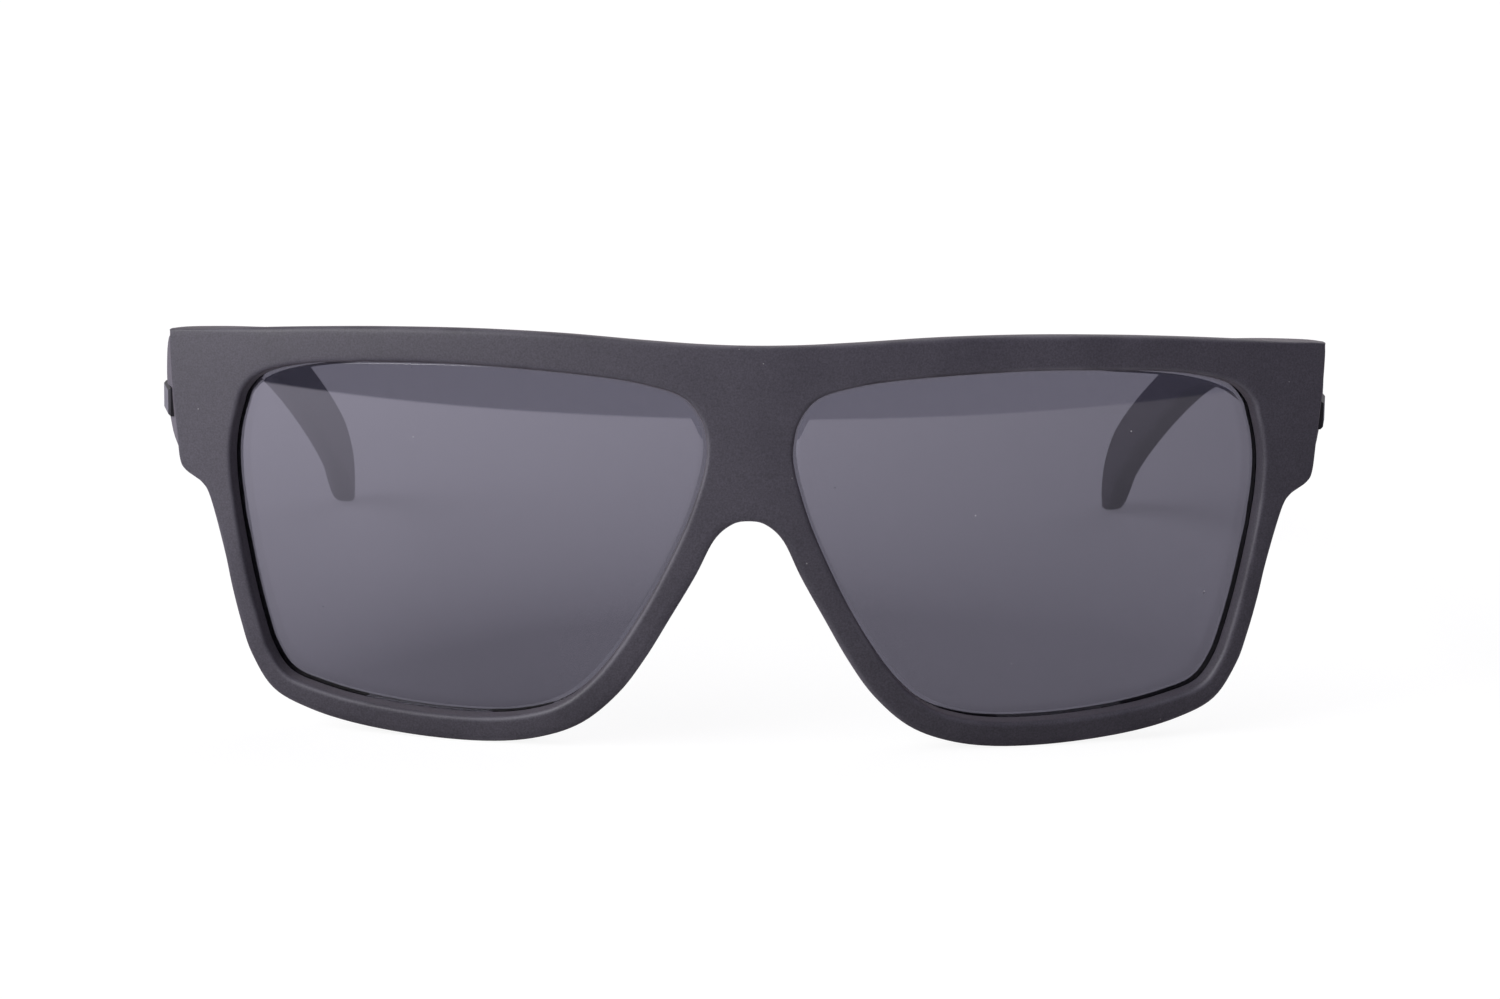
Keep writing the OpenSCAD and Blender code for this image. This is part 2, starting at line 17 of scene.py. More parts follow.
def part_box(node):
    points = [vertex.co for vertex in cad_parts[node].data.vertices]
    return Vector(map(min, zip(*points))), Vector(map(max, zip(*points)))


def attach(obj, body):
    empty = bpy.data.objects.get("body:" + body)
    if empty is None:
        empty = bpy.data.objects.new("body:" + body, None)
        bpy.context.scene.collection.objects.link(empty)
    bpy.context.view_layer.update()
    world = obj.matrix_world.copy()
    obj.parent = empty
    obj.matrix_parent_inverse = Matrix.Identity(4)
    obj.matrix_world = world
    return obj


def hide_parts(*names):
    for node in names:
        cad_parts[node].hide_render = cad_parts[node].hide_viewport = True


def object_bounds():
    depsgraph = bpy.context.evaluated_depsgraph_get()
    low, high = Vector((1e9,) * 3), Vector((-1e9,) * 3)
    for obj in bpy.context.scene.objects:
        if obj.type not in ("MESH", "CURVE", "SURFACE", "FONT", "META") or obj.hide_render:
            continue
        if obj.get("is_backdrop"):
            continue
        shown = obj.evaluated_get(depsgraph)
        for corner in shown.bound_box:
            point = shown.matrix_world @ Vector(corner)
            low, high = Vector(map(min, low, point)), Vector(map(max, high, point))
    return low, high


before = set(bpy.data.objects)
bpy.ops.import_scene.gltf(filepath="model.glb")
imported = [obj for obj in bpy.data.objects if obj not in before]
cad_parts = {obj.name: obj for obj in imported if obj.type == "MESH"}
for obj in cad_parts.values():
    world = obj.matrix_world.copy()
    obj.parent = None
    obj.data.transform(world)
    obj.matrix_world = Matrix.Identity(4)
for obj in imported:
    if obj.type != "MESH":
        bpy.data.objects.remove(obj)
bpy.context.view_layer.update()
MM = 0.001

# %% [markdown]
# ## The shape of a wrapped front
# A wrapped front is cut from a thick curved blank, so its face lies on a sphere. Everything
# about it can then be said with two numbers and a depth: where a point is, seen from the front,
# and how far it is behind that sphere. The sizes are the CAD model's own, in millimetres.

# %% Sizes of the front, in millimetres
front_w = 144.8
lens_w = 58.7
lens_h = 44.2
bridge_w = 10.6
arch_z = 29.7
rim_w = 3.5
rim_side_w = 3.0
rim_nose_w = 3.3
brow_h = 4.7
brow_dip = 1.1
brow_fall = 3.3
front_t = 4.8
front_r = 155.0
end_h = 17.25
end_t = 5.0
nose_pad_d = 3.6
lens_t = 1.8
lens_set = 2.1
groove_d = 1.0
lens_edge_gap = 0.3
lens_face_gap = 0.06
opening_round = 0.6
edge_round = 0.8

lens_cx = bridge_w / 2 + lens_w / 2
lens_cz = rim_w + lens_h / 2
sphere_z = lens_cz
brow_x = 30
brow_top = rim_w + lens_h + brow_h
end_x = front_w / 2
end_top = brow_top - brow_fall
end_bottom = end_top - end_h
hinge_z = end_top - end_h / 2


def sphere_y(x, z):
    return front_r - math.sqrt(front_r**2 - x**2 - (z - sphere_z) ** 2)


pad_y = sphere_y(end_x - 2.5, hinge_z) + end_t
print("flat back of the end pieces lies", round(pad_y, 2), "mm behind the face")

# %% [markdown]
# ## One rib after another
# A front is easiest to hold as a ring of ribs. Each rib starts at the lens opening and ends at
# the outer edge: at the brow, the end piece, the rim, the nose or the middle of the bridge. A
# smooth curve through the ribs gives as many in-between ribs as a close look needs. That beats
# a subdivided cage here, because the curve goes exactly through the points that were measured.


# %% A smooth curve through rows of numbers
def smooth_rows(keys, steps, leave, arrive, closed):
    """Hermite curve through keys along axis 0, with steps[i] samples after key i."""
    n = len(keys)
    out = []
    for i in range(n if closed else n - 1):
        j = (i + 1) % n
        for s in range(steps[i]):
            t = s / steps[i]
            out.append(
                keys[i] * (2 * t**3 - 3 * t**2 + 1)
                + leave[i] * (t**3 - 2 * t**2 + t)
                + keys[j] * (3 * t**2 - 2 * t**3)
                + arrive[j] * (t**3 - t**2)
            )
    if not closed:
        out.append(keys[-1])
    return np.array(out)


def even_tangents(keys):
    """Tangents of a closed curve whose keys are one step apart."""
    return (np.roll(keys, -1, 0) - np.roll(keys, 1, 0)) / 2


def brow_z(x):
    if x < brow_x:
        return brow_top - brow_dip * (1 + math.cos(math.pi * x / brow_x)) / 2
    return brow_top - brow_fall * ((x - brow_x) / (end_x - brow_x)) ** 1.9


# %% The ribs: lens point, outer point, share of end piece, share of nose pad
def rib(u, v, x, z, pad=0.0, nose=0.0):
    return [lens_cx + u * lens_w / 2, lens_cz + v * lens_h / 2, x, z, pad, nose]


def rim(u, v, angle, w=rim_w, nose=0.0):
    x, z = lens_cx + u * lens_w / 2, lens_cz + v * lens_h / 2
    a = math.radians(angle)
    return [x, z, x + w * math.cos(a), z + w * math.sin(a), 0.0, nose]


def brow(u, v, share, pad=0.0):
    return rib(u, v, share * end_x, brow_z(share * end_x), pad)


def mix(a, b, t):
    return a + (b - a) * t


RIBS = np.array([
    brow(-0.90, 0.865, 0),
    brow(-0.76, 0.925, 0.09),
    brow(-0.58, 0.962, 0.186),
    brow(-0.30, 0.988, 0.331),
    brow(0.02, 1.0, 0.483),
    brow(0.33, 0.986, 0.635),
    # In the next five the lens corner lies up to 0.8 mm further out than in the CAD model
    brow(0.595, 0.960, 0.76),
    brow(0.775, 0.914, 0.85),
    brow(0.885, 0.855, 0.932, 0.5),
    rib(0.945, 0.768, end_x - 0.5, end_top + 0.15, 1),
    rib(0.967, 0.685, end_x, end_top - 0.45, 1),
    rib(0.99, 0.555, end_x - 0.15, end_top - 0.25 * end_h, 1),
    rib(1.00, 0.430, end_x - 0.5, end_top - 0.48 * end_h, 1),
    rib(0.998, 0.310, end_x - 0.95, end_top - 0.71 * end_h, 1),
    rib(0.992, 0.215, end_x - 1.35, end_bottom + 1.4, 1),
    rib(0.985, 0.150, end_x - 2.1, end_bottom + 0.1, 1),
    rib(0.978, 0.085, end_x - 4.0, end_bottom - 1.0, 0.8),
    rib(0.968, 0.005, end_x - 5.2, end_bottom - 3.0, 0.3),
    rim(0.948, -0.140, -11, rim_side_w),
    rim(0.918, -0.330, -13, rim_side_w),
    rim(0.880, -0.530, -15, rim_side_w),
    rim(0.838, -0.700, -22, rim_side_w),
    rim(0.765, -0.840, -48, mix(rim_side_w, rim_w, 0.4)),
    rim(0.640, -0.905, -70, mix(rim_side_w, rim_w, 0.8)),
    rim(0.440, -0.960, -80),
    rim(0.160, -0.996, -88),
    rim(-0.110, -0.996, -92),
    rim(-0.290, -0.956, -105),
    rim(-0.425, -0.880, -124),
    rim(-0.545, -0.735, -143),
    rim(-0.650, -0.545, -150, mix(rim_w, rim_nose_w, 0.5), 0.4),
    rim(-0.755, -0.310, -154, rim_nose_w, 1),
    rim(-0.845, -0.070, -157, rim_nose_w + 0.3, 1),
    rib(-0.915, 0.140, 4.3, arch_z - 2.5, 0, 0.4),
    rib(-0.960, 0.310, 2.1, arch_z - 0.45),
    rib(-0.995, 0.480, 0, arch_z),
    rib(-1.0, 0.610, 0, mix(arch_z, brow_z(0), 0.35)),
    rib(-0.975, 0.745, 0, mix(arch_z, brow_z(0), 0.7)),
])
SEAM = 35
RIB_STEPS = 6

leave = even_tangents(RIBS)
arrive = leave.copy()
for i in (0, SEAM):
    # At the middle the outer edge runs level into its mirror image
    leave[i, 2] = RIBS[(i + 1) % len(RIBS), 2] - RIBS[i, 2]
    arrive[i, 2] = RIBS[i, 2] - RIBS[i - 1, 2]
    leave[i, 3] = arrive[i, 3] = 0
STATIONS = smooth_rows(RIBS, [RIB_STEPS] * len(RIBS), leave, arrive, closed=True)
seam_k = SEAM * RIB_STEPS
print("ribs:", len(RIBS), "stations:", len(STATIONS))

# %% [markdown]
# ## The section of a rib
# Cut through the rim and you see a soft outer edge, a face that is nearly flat, a small radius
# at the lens opening, then a straight wall, the groove for the lens and a chamfered back lip.
# The soft edges come from a curve through the section's points. The groove keeps true corners.

# %% Section of a rib, and its points in space
# Each row: 0 at the lens, 1 at the outer edge or 0.5 halfway; inset; depth; gap from the flat
# back of an end piece, or -1; how far a nose pad moves the point in, and back
groove_front = lens_set - lens_face_gap
groove_back = lens_set + lens_t + lens_face_gap
SECTION = [
    (0, 0, opening_round, -1, 0, 0),
    (0, opening_round * 0.29, opening_round * 0.29, -1, 0, 0),
    (0, opening_round, 0.02, -1, 0, 0),
    (0.5, 0, 0, -1, 0, 0),
    (1, edge_round, 0.02, -1, 0, 0),
    (1, edge_round * 0.29, edge_round * 0.29, -1, 0, 0),
    (1, 0, edge_round, -1, 0, 0),
    (1, 0, front_t - 1.1, 0.9, 0.2, 0.4),
    (1, 0.25, front_t - 0.35, 0.3, 0.5, 0.85),
    (1, 0.8, front_t, 0, 0.8, 1),
    (0, 1.9, front_t, 0, -0.7, 0.5),
    (0, 1.2, front_t, -1, -0.4, 0),
    (0, 0.35, front_t - 0.4, -1, -0.3, 0),
    (0, 0, groove_back, -1, 0, 0),
    (0, groove_d, groove_back, -1, 0, 0),
    (0, groove_d, groove_front, -1, 0, 0),
    (0, 0, groove_front, -1, 0, 0),
]
SECTION_CORNERS = [13, 14, 15, 16]
SECTION_STEPS = [4, 4, 4, 4, 4, 4, 4, 4, 3, 6, 3, 3, 4, 2, 3, 3, 4]
# Keys of the rounded edges that are painted lighter, as wear and as a painted highlight
SECTION_WEAR_AND_HIGHLIGHT = [1, 5, 8]
WALL_FIRST, WALL_LAST = 4, 9


def on_face(p, ref):
    """A point [x, z] given at depth ref, carried square to the face sphere."""
    return (p - [0, sphere_z]) * front_r / (front_r - ref)


def at_depth(q, d):
    k = (front_r - d) / front_r
    y = front_r - k * math.sqrt(front_r**2 - q[0] ** 2 - q[1] ** 2)
    return np.array([q[0] * k, y, sphere_z + q[1] * k])


def lens_and_edge(row):
    """The lens point, the outer point and the direction across the rib, on the face."""
    lens, edge = on_face(row[0:2], lens_set), on_face(row[2:4], edge_round)
    return lens, edge, (edge - lens) / np.linalg.norm(edge - lens)


def section_point(k, s):
    row = STATIONS[k]
    lens, edge, across = lens_and_edge(row)
    pad, nose = row[4], row[5]
    inward, seam_side = -across, False
    if k == 0 or k >= seam_k:
        inward = np.array([0.0, -1.0 if k == 0 else 1.0])
        seam_side = k > seam_k
    # The side of an end piece has a crisper edge than the brow and the rims
    crisp = 1 - 0.5 * pad if s[0] == 1 and s[2] <= edge_round else 1
    inset = s[1] * crisp + s[4] * nose
    depth = s[2] * crisp + s[5] * nose * nose_pad_d
    if s[0] == 0:
        q = lens + across * inset
    elif s[0] == 1:
        q = edge if seam_side else edge + inward * inset
        depth = 0 if seam_side and s[2] < edge_round else depth
    else:
        q = (lens + edge) / 2
    p = at_depth(q, depth)
    if s[3] < 0 or pad == 0:
        return p
    own = (front_r - edge_round) / front_r
    flat = np.array([q[0] * own, pad_y - s[3], sphere_z + q[1] * own])
    return p + (flat - p) * pad


def lay_section(keys, steps, corners):
    """Smooth closed curves through section keys (stations, keys, 3), true at the corners."""
    k = np.moveaxis(keys, 1, 0)
    ahead = np.roll(k, -1, 0) - k
    behind = k - np.roll(k, 1, 0)
    h1 = np.linalg.norm(ahead, axis=2, keepdims=True) + 1e-9
    h0 = np.linalg.norm(behind, axis=2, keepdims=True) + 1e-9
    # The longer neighbour sets the direction, so a flat stays flat right up to its soft edge
    v = (behind * h0 + ahead * h1) / (h0**2 + h1**2)
    leave, arrive = v * h1, v * h0
    for c in corners:
        leave[c], arrive[c] = ahead[c], behind[c]
    return np.moveaxis(smooth_rows(k, steps, leave, arrive, closed=True), 0, 1)


def wear_and_highlight_samples(steps, worn_and_highlit):
    """How much wear and painted highlight each sample of a section gets: 1 at the listed keys, 0 a whole
    key away.
    """
    place = np.concatenate([i + np.arange(n) / n for i, n in enumerate(steps)])
    return np.clip(1 - np.abs(place[:, None] - worn_and_highlit).min(1), 0, 1)


print("points round a section:", sum(SECTION_STEPS), "of which keys:", len(SECTION))

# %% Helpers that turn points into a mesh object
def make_mesh(name, points, faces, body, slot, *nodes, worn_and_highlit=None):
    """A closed mesh from points in millimetres, riding on a body in place of CAD nodes."""
    mesh = bpy.data.meshes.new(name)
    mesh.from_pydata([tuple(p) for p in np.asarray(points) * MM], [], faces)
    # Lighter long edges, both wear and painted highlight, ride along as a point attribute
    if worn_and_highlit is not None:
        wear_and_highlight = mesh.attributes.new("edge_wear_and_highlight", "FLOAT", "POINT")
        wear_and_highlight.data.foreach_set("value", np.float32(worn_and_highlit))
    bm = bmesh.new()
    bm.from_mesh(mesh)
    bmesh.ops.remove_doubles(bm, verts=bm.verts, dist=0.002 * MM)
    loose = [v for v in bm.verts if not v.link_faces]
    bmesh.ops.delete(bm, geom=loose, context="VERTS")
    bmesh.ops.recalc_face_normals(bm, faces=bm.faces)
    open_edges = sum(not e.is_manifold for e in bm.edges)
    bm.to_mesh(mesh)
    bm.free()
    piece = bpy.data.objects.new(name, mesh)
    bpy.context.scene.collection.objects.link(piece)
    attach(piece, body)
    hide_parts(*nodes)
    print(name, "faces:", len(mesh.polygons), "open edges:", open_edges)
    return piece


def cut_boxes(piece, boxes):
    """Cuts boxes, given as (centre, size, turn) in millimetres, out of a piece."""
    for centre, size, turn in boxes:
        bm = bmesh.new()
        place = Matrix.Translation(Vector(centre) * MM) @ turn.to_4x4()
        bmesh.ops.create_cube(bm, size=1, matrix=place @ Matrix.Diagonal((*(Vector(size) * MM), 1)))
        cutter = bpy.data.objects.new("cutter", bpy.data.meshes.new("cutter"))
        bm.to_mesh(cutter.data)
        bm.free()
        bpy.context.scene.collection.objects.link(cutter)
        cut = piece.modifiers.new("cut", "BOOLEAN")
        cut.object, cut.operation, cut.solver = cutter, "DIFFERENCE", "EXACT"
        ready = piece.evaluated_get(bpy.context.evaluated_depsgraph_get())
        carved = bpy.data.meshes.new_from_object(ready)
        piece.modifiers.remove(cut)
        piece.data = carved
        bpy.data.objects.remove(cutter)


def shade(piece, angle=35):
    """Smooth shading that breaks where faces meet more sharply than angle."""
    piece.data.shade_smooth()
    piece.data.set_sharp_from_angle(angle=math.radians(angle))


def to_row(points):
    """From the face at y = 0 to the row frame, whose origin is at the middle of the length."""
    return np.asarray(points) - [0, half_l_exact, 0]


def mirrored(points, side):
    return np.asarray(points) * [side, 1, 1]


# The front's apex lies a little behind the face sphere, so half the length comes from the hinge
hinge_low, hinge_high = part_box("left_hinge_screw")
barrel_r = 1.5
leaf_gap = 0.2
axis_y = pad_y + barrel_r + leaf_gap
half_l_exact = axis_y - (hinge_low.y + hinge_high.y) / 2 / MM
axis_x = (hinge_low.x + hinge_high.x) / 2 / MM
print("half length:", round(half_l_exact, 3), "mm, hinge axis at x", round(axis_x, 2))

# %% [markdown]
# ## The moulded front
# Both halves share one set of ribs. The right half is the left one mirrored, and the strips
# that would lie inside the bridge are left out, so the two halves weld into one closed shell.
# The hinge leaves are let into the flat backs of the end pieces, so pockets are cut for them.

# %% Build the front
keys = np.array([[section_point(k, s) for s in SECTION] for k in range(len(STATIONS))])
half = lay_section(keys, SECTION_STEPS, SECTION_CORNERS)
m, n = half.shape[:2]
first = sum(SECTION_STEPS[:WALL_FIRST])
last = sum(SECTION_STEPS[:WALL_LAST])
on_seam = [0, *range(seam_k, m)]
half[on_seam, first:last + 1, 0] = 0
quads = []
for k in range(m):
    for j in range(n):
        if k >= seam_k and first <= j < last:
            continue
        k2, j2 = (k + 1) % m, (j + 1) % n
        quads.append((k * n + j, k2 * n + j, k2 * n + j2, k * n + j2))
points = half.reshape(-1, 3)
both = np.vstack([points, points * [-1, 1, 1]])
worn_and_highlit = np.tile(wear_and_highlight_samples(SECTION_STEPS, SECTION_WEAR_AND_HIGHLIGHT), (2, m, 1))
worn_and_highlit[:, seam_k + 1:, first:last] = 0
quads += [tuple(i + m * n for i in reversed(q)) for q in quads]
front = make_mesh("front", to_row(both), quads, "front", "front_plastic", "front_frame",
                  worn_and_highlit=worn_and_highlit.ravel())

leaf_t = 0.8
front_leaf_w, front_leaf_h = 3.0, 13.0
inset_gap = 0.05
pocket = (front_leaf_w + 2 * inset_gap, leaf_t + inset_gap + 1, front_leaf_h + 2 * inset_gap)
pocket_y = pad_y - half_l_exact + (1 - leaf_t - inset_gap) / 2
cut_boxes(front, [((s * axis_x, pocket_y, hinge_z), pocket, Matrix.Identity(3)) for s in (1, -1)])
shade(front)
print("front faces after the pockets:", len(front.data.polygons))

# %% [markdown]
# ## The lenses
# A lens is ground on the same sphere as the front, so its reflections are only right if its
# surface is too. A fan of rings from the middle out to the edge, each point set on the true
# sphere, reflects without a ripple. The edge gets the small bevel that lets it snap in.

# %% Outline and surface of a lens
lens_turn = math.asin(lens_cx / front_r)
axis_out = np.array([math.sin(lens_turn), -math.cos(lens_turn), 0])
axis_side = np.array([math.cos(lens_turn), math.sin(lens_turn), 0])
axis_up = np.array([0, 0, 1.0])
sphere_c = np.array([0, front_r, sphere_z])
LENS_RINGS = 28
lens_bevel = 0.25


def lens_outline():
    out = []
    for row in STATIONS:
        lens, _, across = lens_and_edge(row)
        p = at_depth(lens + across * (groove_d - lens_edge_gap), lens_set + lens_t / 2) - sphere_c
        out.append([p @ axis_side, p @ axis_up])
    return np.array(out)


def lens_surface(st, depth):
    """Points of the sphere at a depth, at places st across and up the lens."""
    r = front_r - depth
    along = np.sqrt(r**2 - (st**2).sum(1, keepdims=True))
    return sphere_c + along * axis_out + st[:, :1] * axis_side + st[:, 1:] * axis_up


outline = lens_outline()
middle = outline.mean(0)
print("lens, mm:", (outline.max(0) - outline.min(0)).round(1))

# %% Build the lenses
reach = np.linalg.norm(outline - middle, axis=1, keepdims=True)
face = (outline - middle) * (1 - lens_bevel / reach)
shares = np.linspace(0, 1, LENS_RINGS + 1)[1:]
rings = []
for depth in (lens_set, lens_set + lens_t):
    rings.append([lens_surface(middle + face * f, depth) for f in shares])
wall = [lens_surface(outline, lens_set + d) for d in (lens_bevel, lens_t - lens_bevel)]
loops = rings[0] + wall + rings[1][::-1]
tips = [lens_surface(middle[None], d)[0] for d in (lens_set, lens_set + lens_t)]
count = len(outline)
lens_points = np.vstack(loops + [tips])
lens_faces = []
for a in range(len(loops) - 1):
    for j in range(count):
        j2 = (j + 1) % count
        lens_faces.append((a * count + j, a * count + j2, (a + 1) * count + j2, (a + 1) * count + j))
for tip, ring in ((0, 0), (1, len(loops) - 1)):
    for j in range(count):
        j2 = (j + 1) % count
        lens_faces.append((len(loops) * count + tip, ring * count + j, ring * count + j2))

lenses = {}
for side, word in ((1, "left"), (-1, "right")):
    placed = mirrored(to_row(lens_points), side)
    lenses[word] = make_mesh(f"{word}_tinted_lens", placed, lens_faces, "front", "tinted_lens",
                             f"{word}_lens")
    shade(lenses[word], 50)

# %% [markdown]
# ## The temples
# A temple is a loft: one D-shaped section is carried along a spine that runs level past the
# lens, dips behind the ear and turns in towards the head. The section starts tall at the hinge,
# slims to the ear and widens again to a rounded paddle.

# %% Sizes of a temple, in millimetres
temple_l = 126.0
temple_h = 17.1
temple_waist_h = 6.4
temple_tip_h = 8.0
temple_t = 3.7
temple_ear_t = 4.3
temple_tip_t = 3.8
temple_bow = 1.6
tips_gap = 109.8
butt_gap = 0.25
temple_face_x = end_x - 0.05 - temple_t
butt_y = pad_y + butt_gap
temple_tip_lift = 1.0
spine_l = temple_l - temple_tip_lift


def waist(t):
    return mix(temple_h, temple_waist_h, t)


def paddle(t):
    return mix(temple_waist_h, temple_tip_h, t)


# Share of the length, of the fall, of the turn inward and of the bow, height, thickness, turn
SPINE = np.array([
    [0.000, 0.000, 0.000, 0.00, temple_h, temple_t, 0],
    [0.083, 0.025, 0.000, 1.00, waist(0.2), temple_t, 0.4],
    [0.178, 0.054, 0.011, 0.80, waist(0.42), temple_t, 1],
    [0.282, 0.092, 0.055, 0.35, waist(0.63), mix(temple_t, temple_ear_t, 0.35), 1],
    [0.386, 0.126, 0.156, 0.08, waist(0.83), mix(temple_t, temple_ear_t, 0.75), 1],
    [0.474, 0.155, 0.265, 0.00, waist(0.955), temple_ear_t, 1],
    [0.554, 0.200, 0.367, 0.00, waist(0.99), temple_ear_t, 1],
    [0.626, 0.275, 0.469, 0.00, temple_waist_h, temple_ear_t, 1],
    [0.706, 0.384, 0.585, 0.00, paddle(0.13), mix(temple_ear_t, temple_tip_t, 0.1), 1],
    [0.786, 0.506, 0.700, 0.00, paddle(0.33), mix(temple_ear_t, temple_tip_t, 0.3), 1],
    [0.866, 0.646, 0.825, 0.00, paddle(0.69), mix(temple_ear_t, temple_tip_t, 0.7), 1],
    [0.926, 0.774, 0.927, 0.00, temple_tip_h, temple_tip_t, 1],
    [0.962, 0.877, 0.978, 0.00, temple_tip_h * 0.985, temple_tip_t, 1],
    [0.986, 0.955, 0.996, 0.00, temple_tip_h * 0.81, temple_tip_t * 0.9, 1],
    [1.000, 1.000, 1.000, 0.00, temple_tip_h * 0.352, temple_tip_t * 0.55, 1],
])
SPINE_STEPS = 8
spine_v = even_tangents(SPINE)
spine_v[0], spine_v[-1] = SPINE[1] - SPINE[0], SPINE[-1] - SPINE[-2]
rows = smooth_rows(SPINE, [SPINE_STEPS] * len(SPINE), spine_v, spine_v, closed=False)


def spine_point(r):
    x = mix(temple_face_x, tips_gap / 2, r[2])
    return np.array([x, butt_y + r[0] * spine_l, mix(hinge_z, temple_tip_lift, r[1])])


centres = np.array([spine_point(r) for r in rows])
along = np.gradient(centres, axis=0)
slopes = np.arctan2(-along[:, 2], along[:, 1]) * rows[:, 6]
print("temple stations:", len(rows), "steepest:", round(math.degrees(slopes.max())), "degrees")

# %% Section of a temple and the loft
# Shares of the thickness and of half the height: flat inside, crowned outside
TEMPLE_SECTION = np.array([
    [0, -0.82], [0, 0.82], [0.05, 0.93], [0.18, 1.0], [0.62, 1.0], [0.84, 0.95], [0.96, 0.83],
    [1.0, 0.55], [1.0, 0.1], [0.95, -0.35], [0.86, -0.72], [0.72, -0.93], [0.48, -1.0],
    [0.18, -1.0], [0.05, -0.94],
])
TEMPLE_STEPS = [8, 2, 2, 4, 3, 2, 3, 4, 4, 4, 3, 3, 4, 2, 2]
# Keys of the rounded edges that are painted lighter, as wear and as a painted highlight
TEMPLE_WEAR_AND_HIGHLIGHT = [2, 6, 11, 14]


def temple_keys(i, shrink=0.0):
    """Section keys of station i, drawn in from its outline by shrink millimetres."""
    r, c, turn = rows[i], centres[i], slopes[i]
    thick, high = r[5] + r[3] * temple_bow, r[4] / 2
    p = TEMPLE_SECTION * [thick, high]
    middle = np.array([thick / 2, 0])
    p = middle + (p - middle) * [1 - 2 * shrink / thick, 1 - shrink / high]
    return np.array([c + [a, b * math.sin(turn), b * math.cos(turn)] for a, b in p])


keys = [temple_keys(i) for i in range(len(rows))]
# A small radius where the butt meets the end piece, and a domed end on the paddle
butt_round, dome = 0.25, 0.55
keys[0] = temple_keys(0, butt_round)
keys.insert(1, temple_keys(0, butt_round * 0.3) + [0, butt_round * 0.35, 0])
keys.insert(2, temple_keys(0) + [0, butt_round, 0])
end_way = np.array([0, math.cos(slopes[-1]), -math.sin(slopes[-1])])
for share in (0.35, 0.65, 0.87):
    bulge = dome / 2 * math.sqrt(1 - (1 - share) ** 2)
    keys.append(temple_keys(len(rows) - 1, share * 0.75) + end_way * bulge)
loft = lay_section(np.array(keys), TEMPLE_STEPS, [])
m, n = loft.shape[:2]
temple_faces = [
    (i * n + j, i * n + (j + 1) % n, (i + 1) * n + (j + 1) % n, (i + 1) * n + j)
    for i in range(m - 1) for j in range(n)
]
temple_faces += [tuple(range(n)), tuple((m - 1) * n + j for j in range(n))]
print("loft:", m, "stations of", n, "points")

# %% Build the temples, with pockets for the hinge leaf and the side plate
temple_leaf_h, temple_leaf_l = 8.0, 9.0
leaf_y = axis_y - 0.3
plate_l, plate_h, plate_let_in, plate_start, plate_drop = 10.0, 3.6, 0.4, 2.2, 1.3
pocket_rim = 2.0


def outer_point(y):
    """A point of the outer face, plate_drop below the spine, at y behind the butt."""
    share = y / spine_l
    t = np.interp(share, SPINE[:, 0], range(len(SPINE))) * SPINE_STEPS
    r = rows[int(t)] + (rows[int(t) + 1] - rows[int(t)]) * (t % 1)
    return spine_point(r) + [r[5] + r[3] * temple_bow, 0, -plate_drop]


plate_ends = outer_point(plate_start), outer_point(plate_start + plate_l)
plate_way = plate_ends[1] - plate_ends[0]
plate_turn = (Matrix.Rotation(-math.atan2(plate_way[0], plate_way[1]), 3, "Z")
              @ Matrix.Rotation(math.atan2(plate_way[2], plate_way[1]), 3, "X"))
plate_size = (plate_let_in + inset_gap + pocket_rim, plate_l + 2 * inset_gap, plate_h + 2 * inset_gap)
plate_at = Vector(to_row((plate_ends[0] + plate_ends[1]) / 2))
plate_at += plate_turn @ Vector(((pocket_rim - plate_let_in - inset_gap) / 2, 0, 0))
temples = {}
for side, word in ((1, "left"), (-1, "right")):
    placed = mirrored(to_row(loft.reshape(-1, 3)), side)
    piece = make_mesh(f"{word}_temple_arm", placed, temple_faces, f"{word}_temple_body",
                      "temple_plastic", f"{word}_temple",
                      worn_and_highlit=np.tile(wear_and_highlight_samples(TEMPLE_STEPS, TEMPLE_WEAR_AND_HIGHLIGHT), len(loft)))
    leaf_size = (leaf_t + inset_gap + 1, temple_leaf_l + 2 * inset_gap, temple_leaf_h + 2 * inset_gap)
    leaf_at = (side * (temple_face_x + (leaf_t + inset_gap - 1) / 2),
               leaf_y + temple_leaf_l / 2 - half_l_exact, hinge_z)
    flip = Matrix.Diagonal((side, 1, 1))
    cut_boxes(piece, [(leaf_at, leaf_size, Matrix.Identity(3)),
                      (flip @ plate_at, plate_size, flip @ plate_turn @ flip)])
    shade(piece)
    temples[word] = piece

# %% [markdown]
# ## Colours and the node helper
# A colour on a screen is stored bent, as sRGB, while a renderer counts light evenly. One
# function straightens every hex colour. Another adds a node, sets it and links it in one line.


# %% Colour and node helpers
def colour(code):
    """sRGB hex, such as "#4a484d", as linear RGBA."""
    parts = [int(code[i:i + 2], 16) / 255 for i in (1, 3, 5)]
    return [c / 12.92 if c <= 0.04045 else ((c + 0.055) / 1.055) ** 2.4 for c in parts] + [1.0]


def node(tree, kind, inputs=None, **settings):
    """Adds a node. inputs maps a socket's name or number to a value or to another socket."""
    made = tree.nodes.new(kind)
    for key, value in settings.items():
        setattr(made, key, value)
    for key, value in (inputs or {}).items():
        if isinstance(value, bpy.types.NodeSocket):
            tree.links.new(value, made.inputs[key])
        else:
            made.inputs[key].default_value = value
    return made


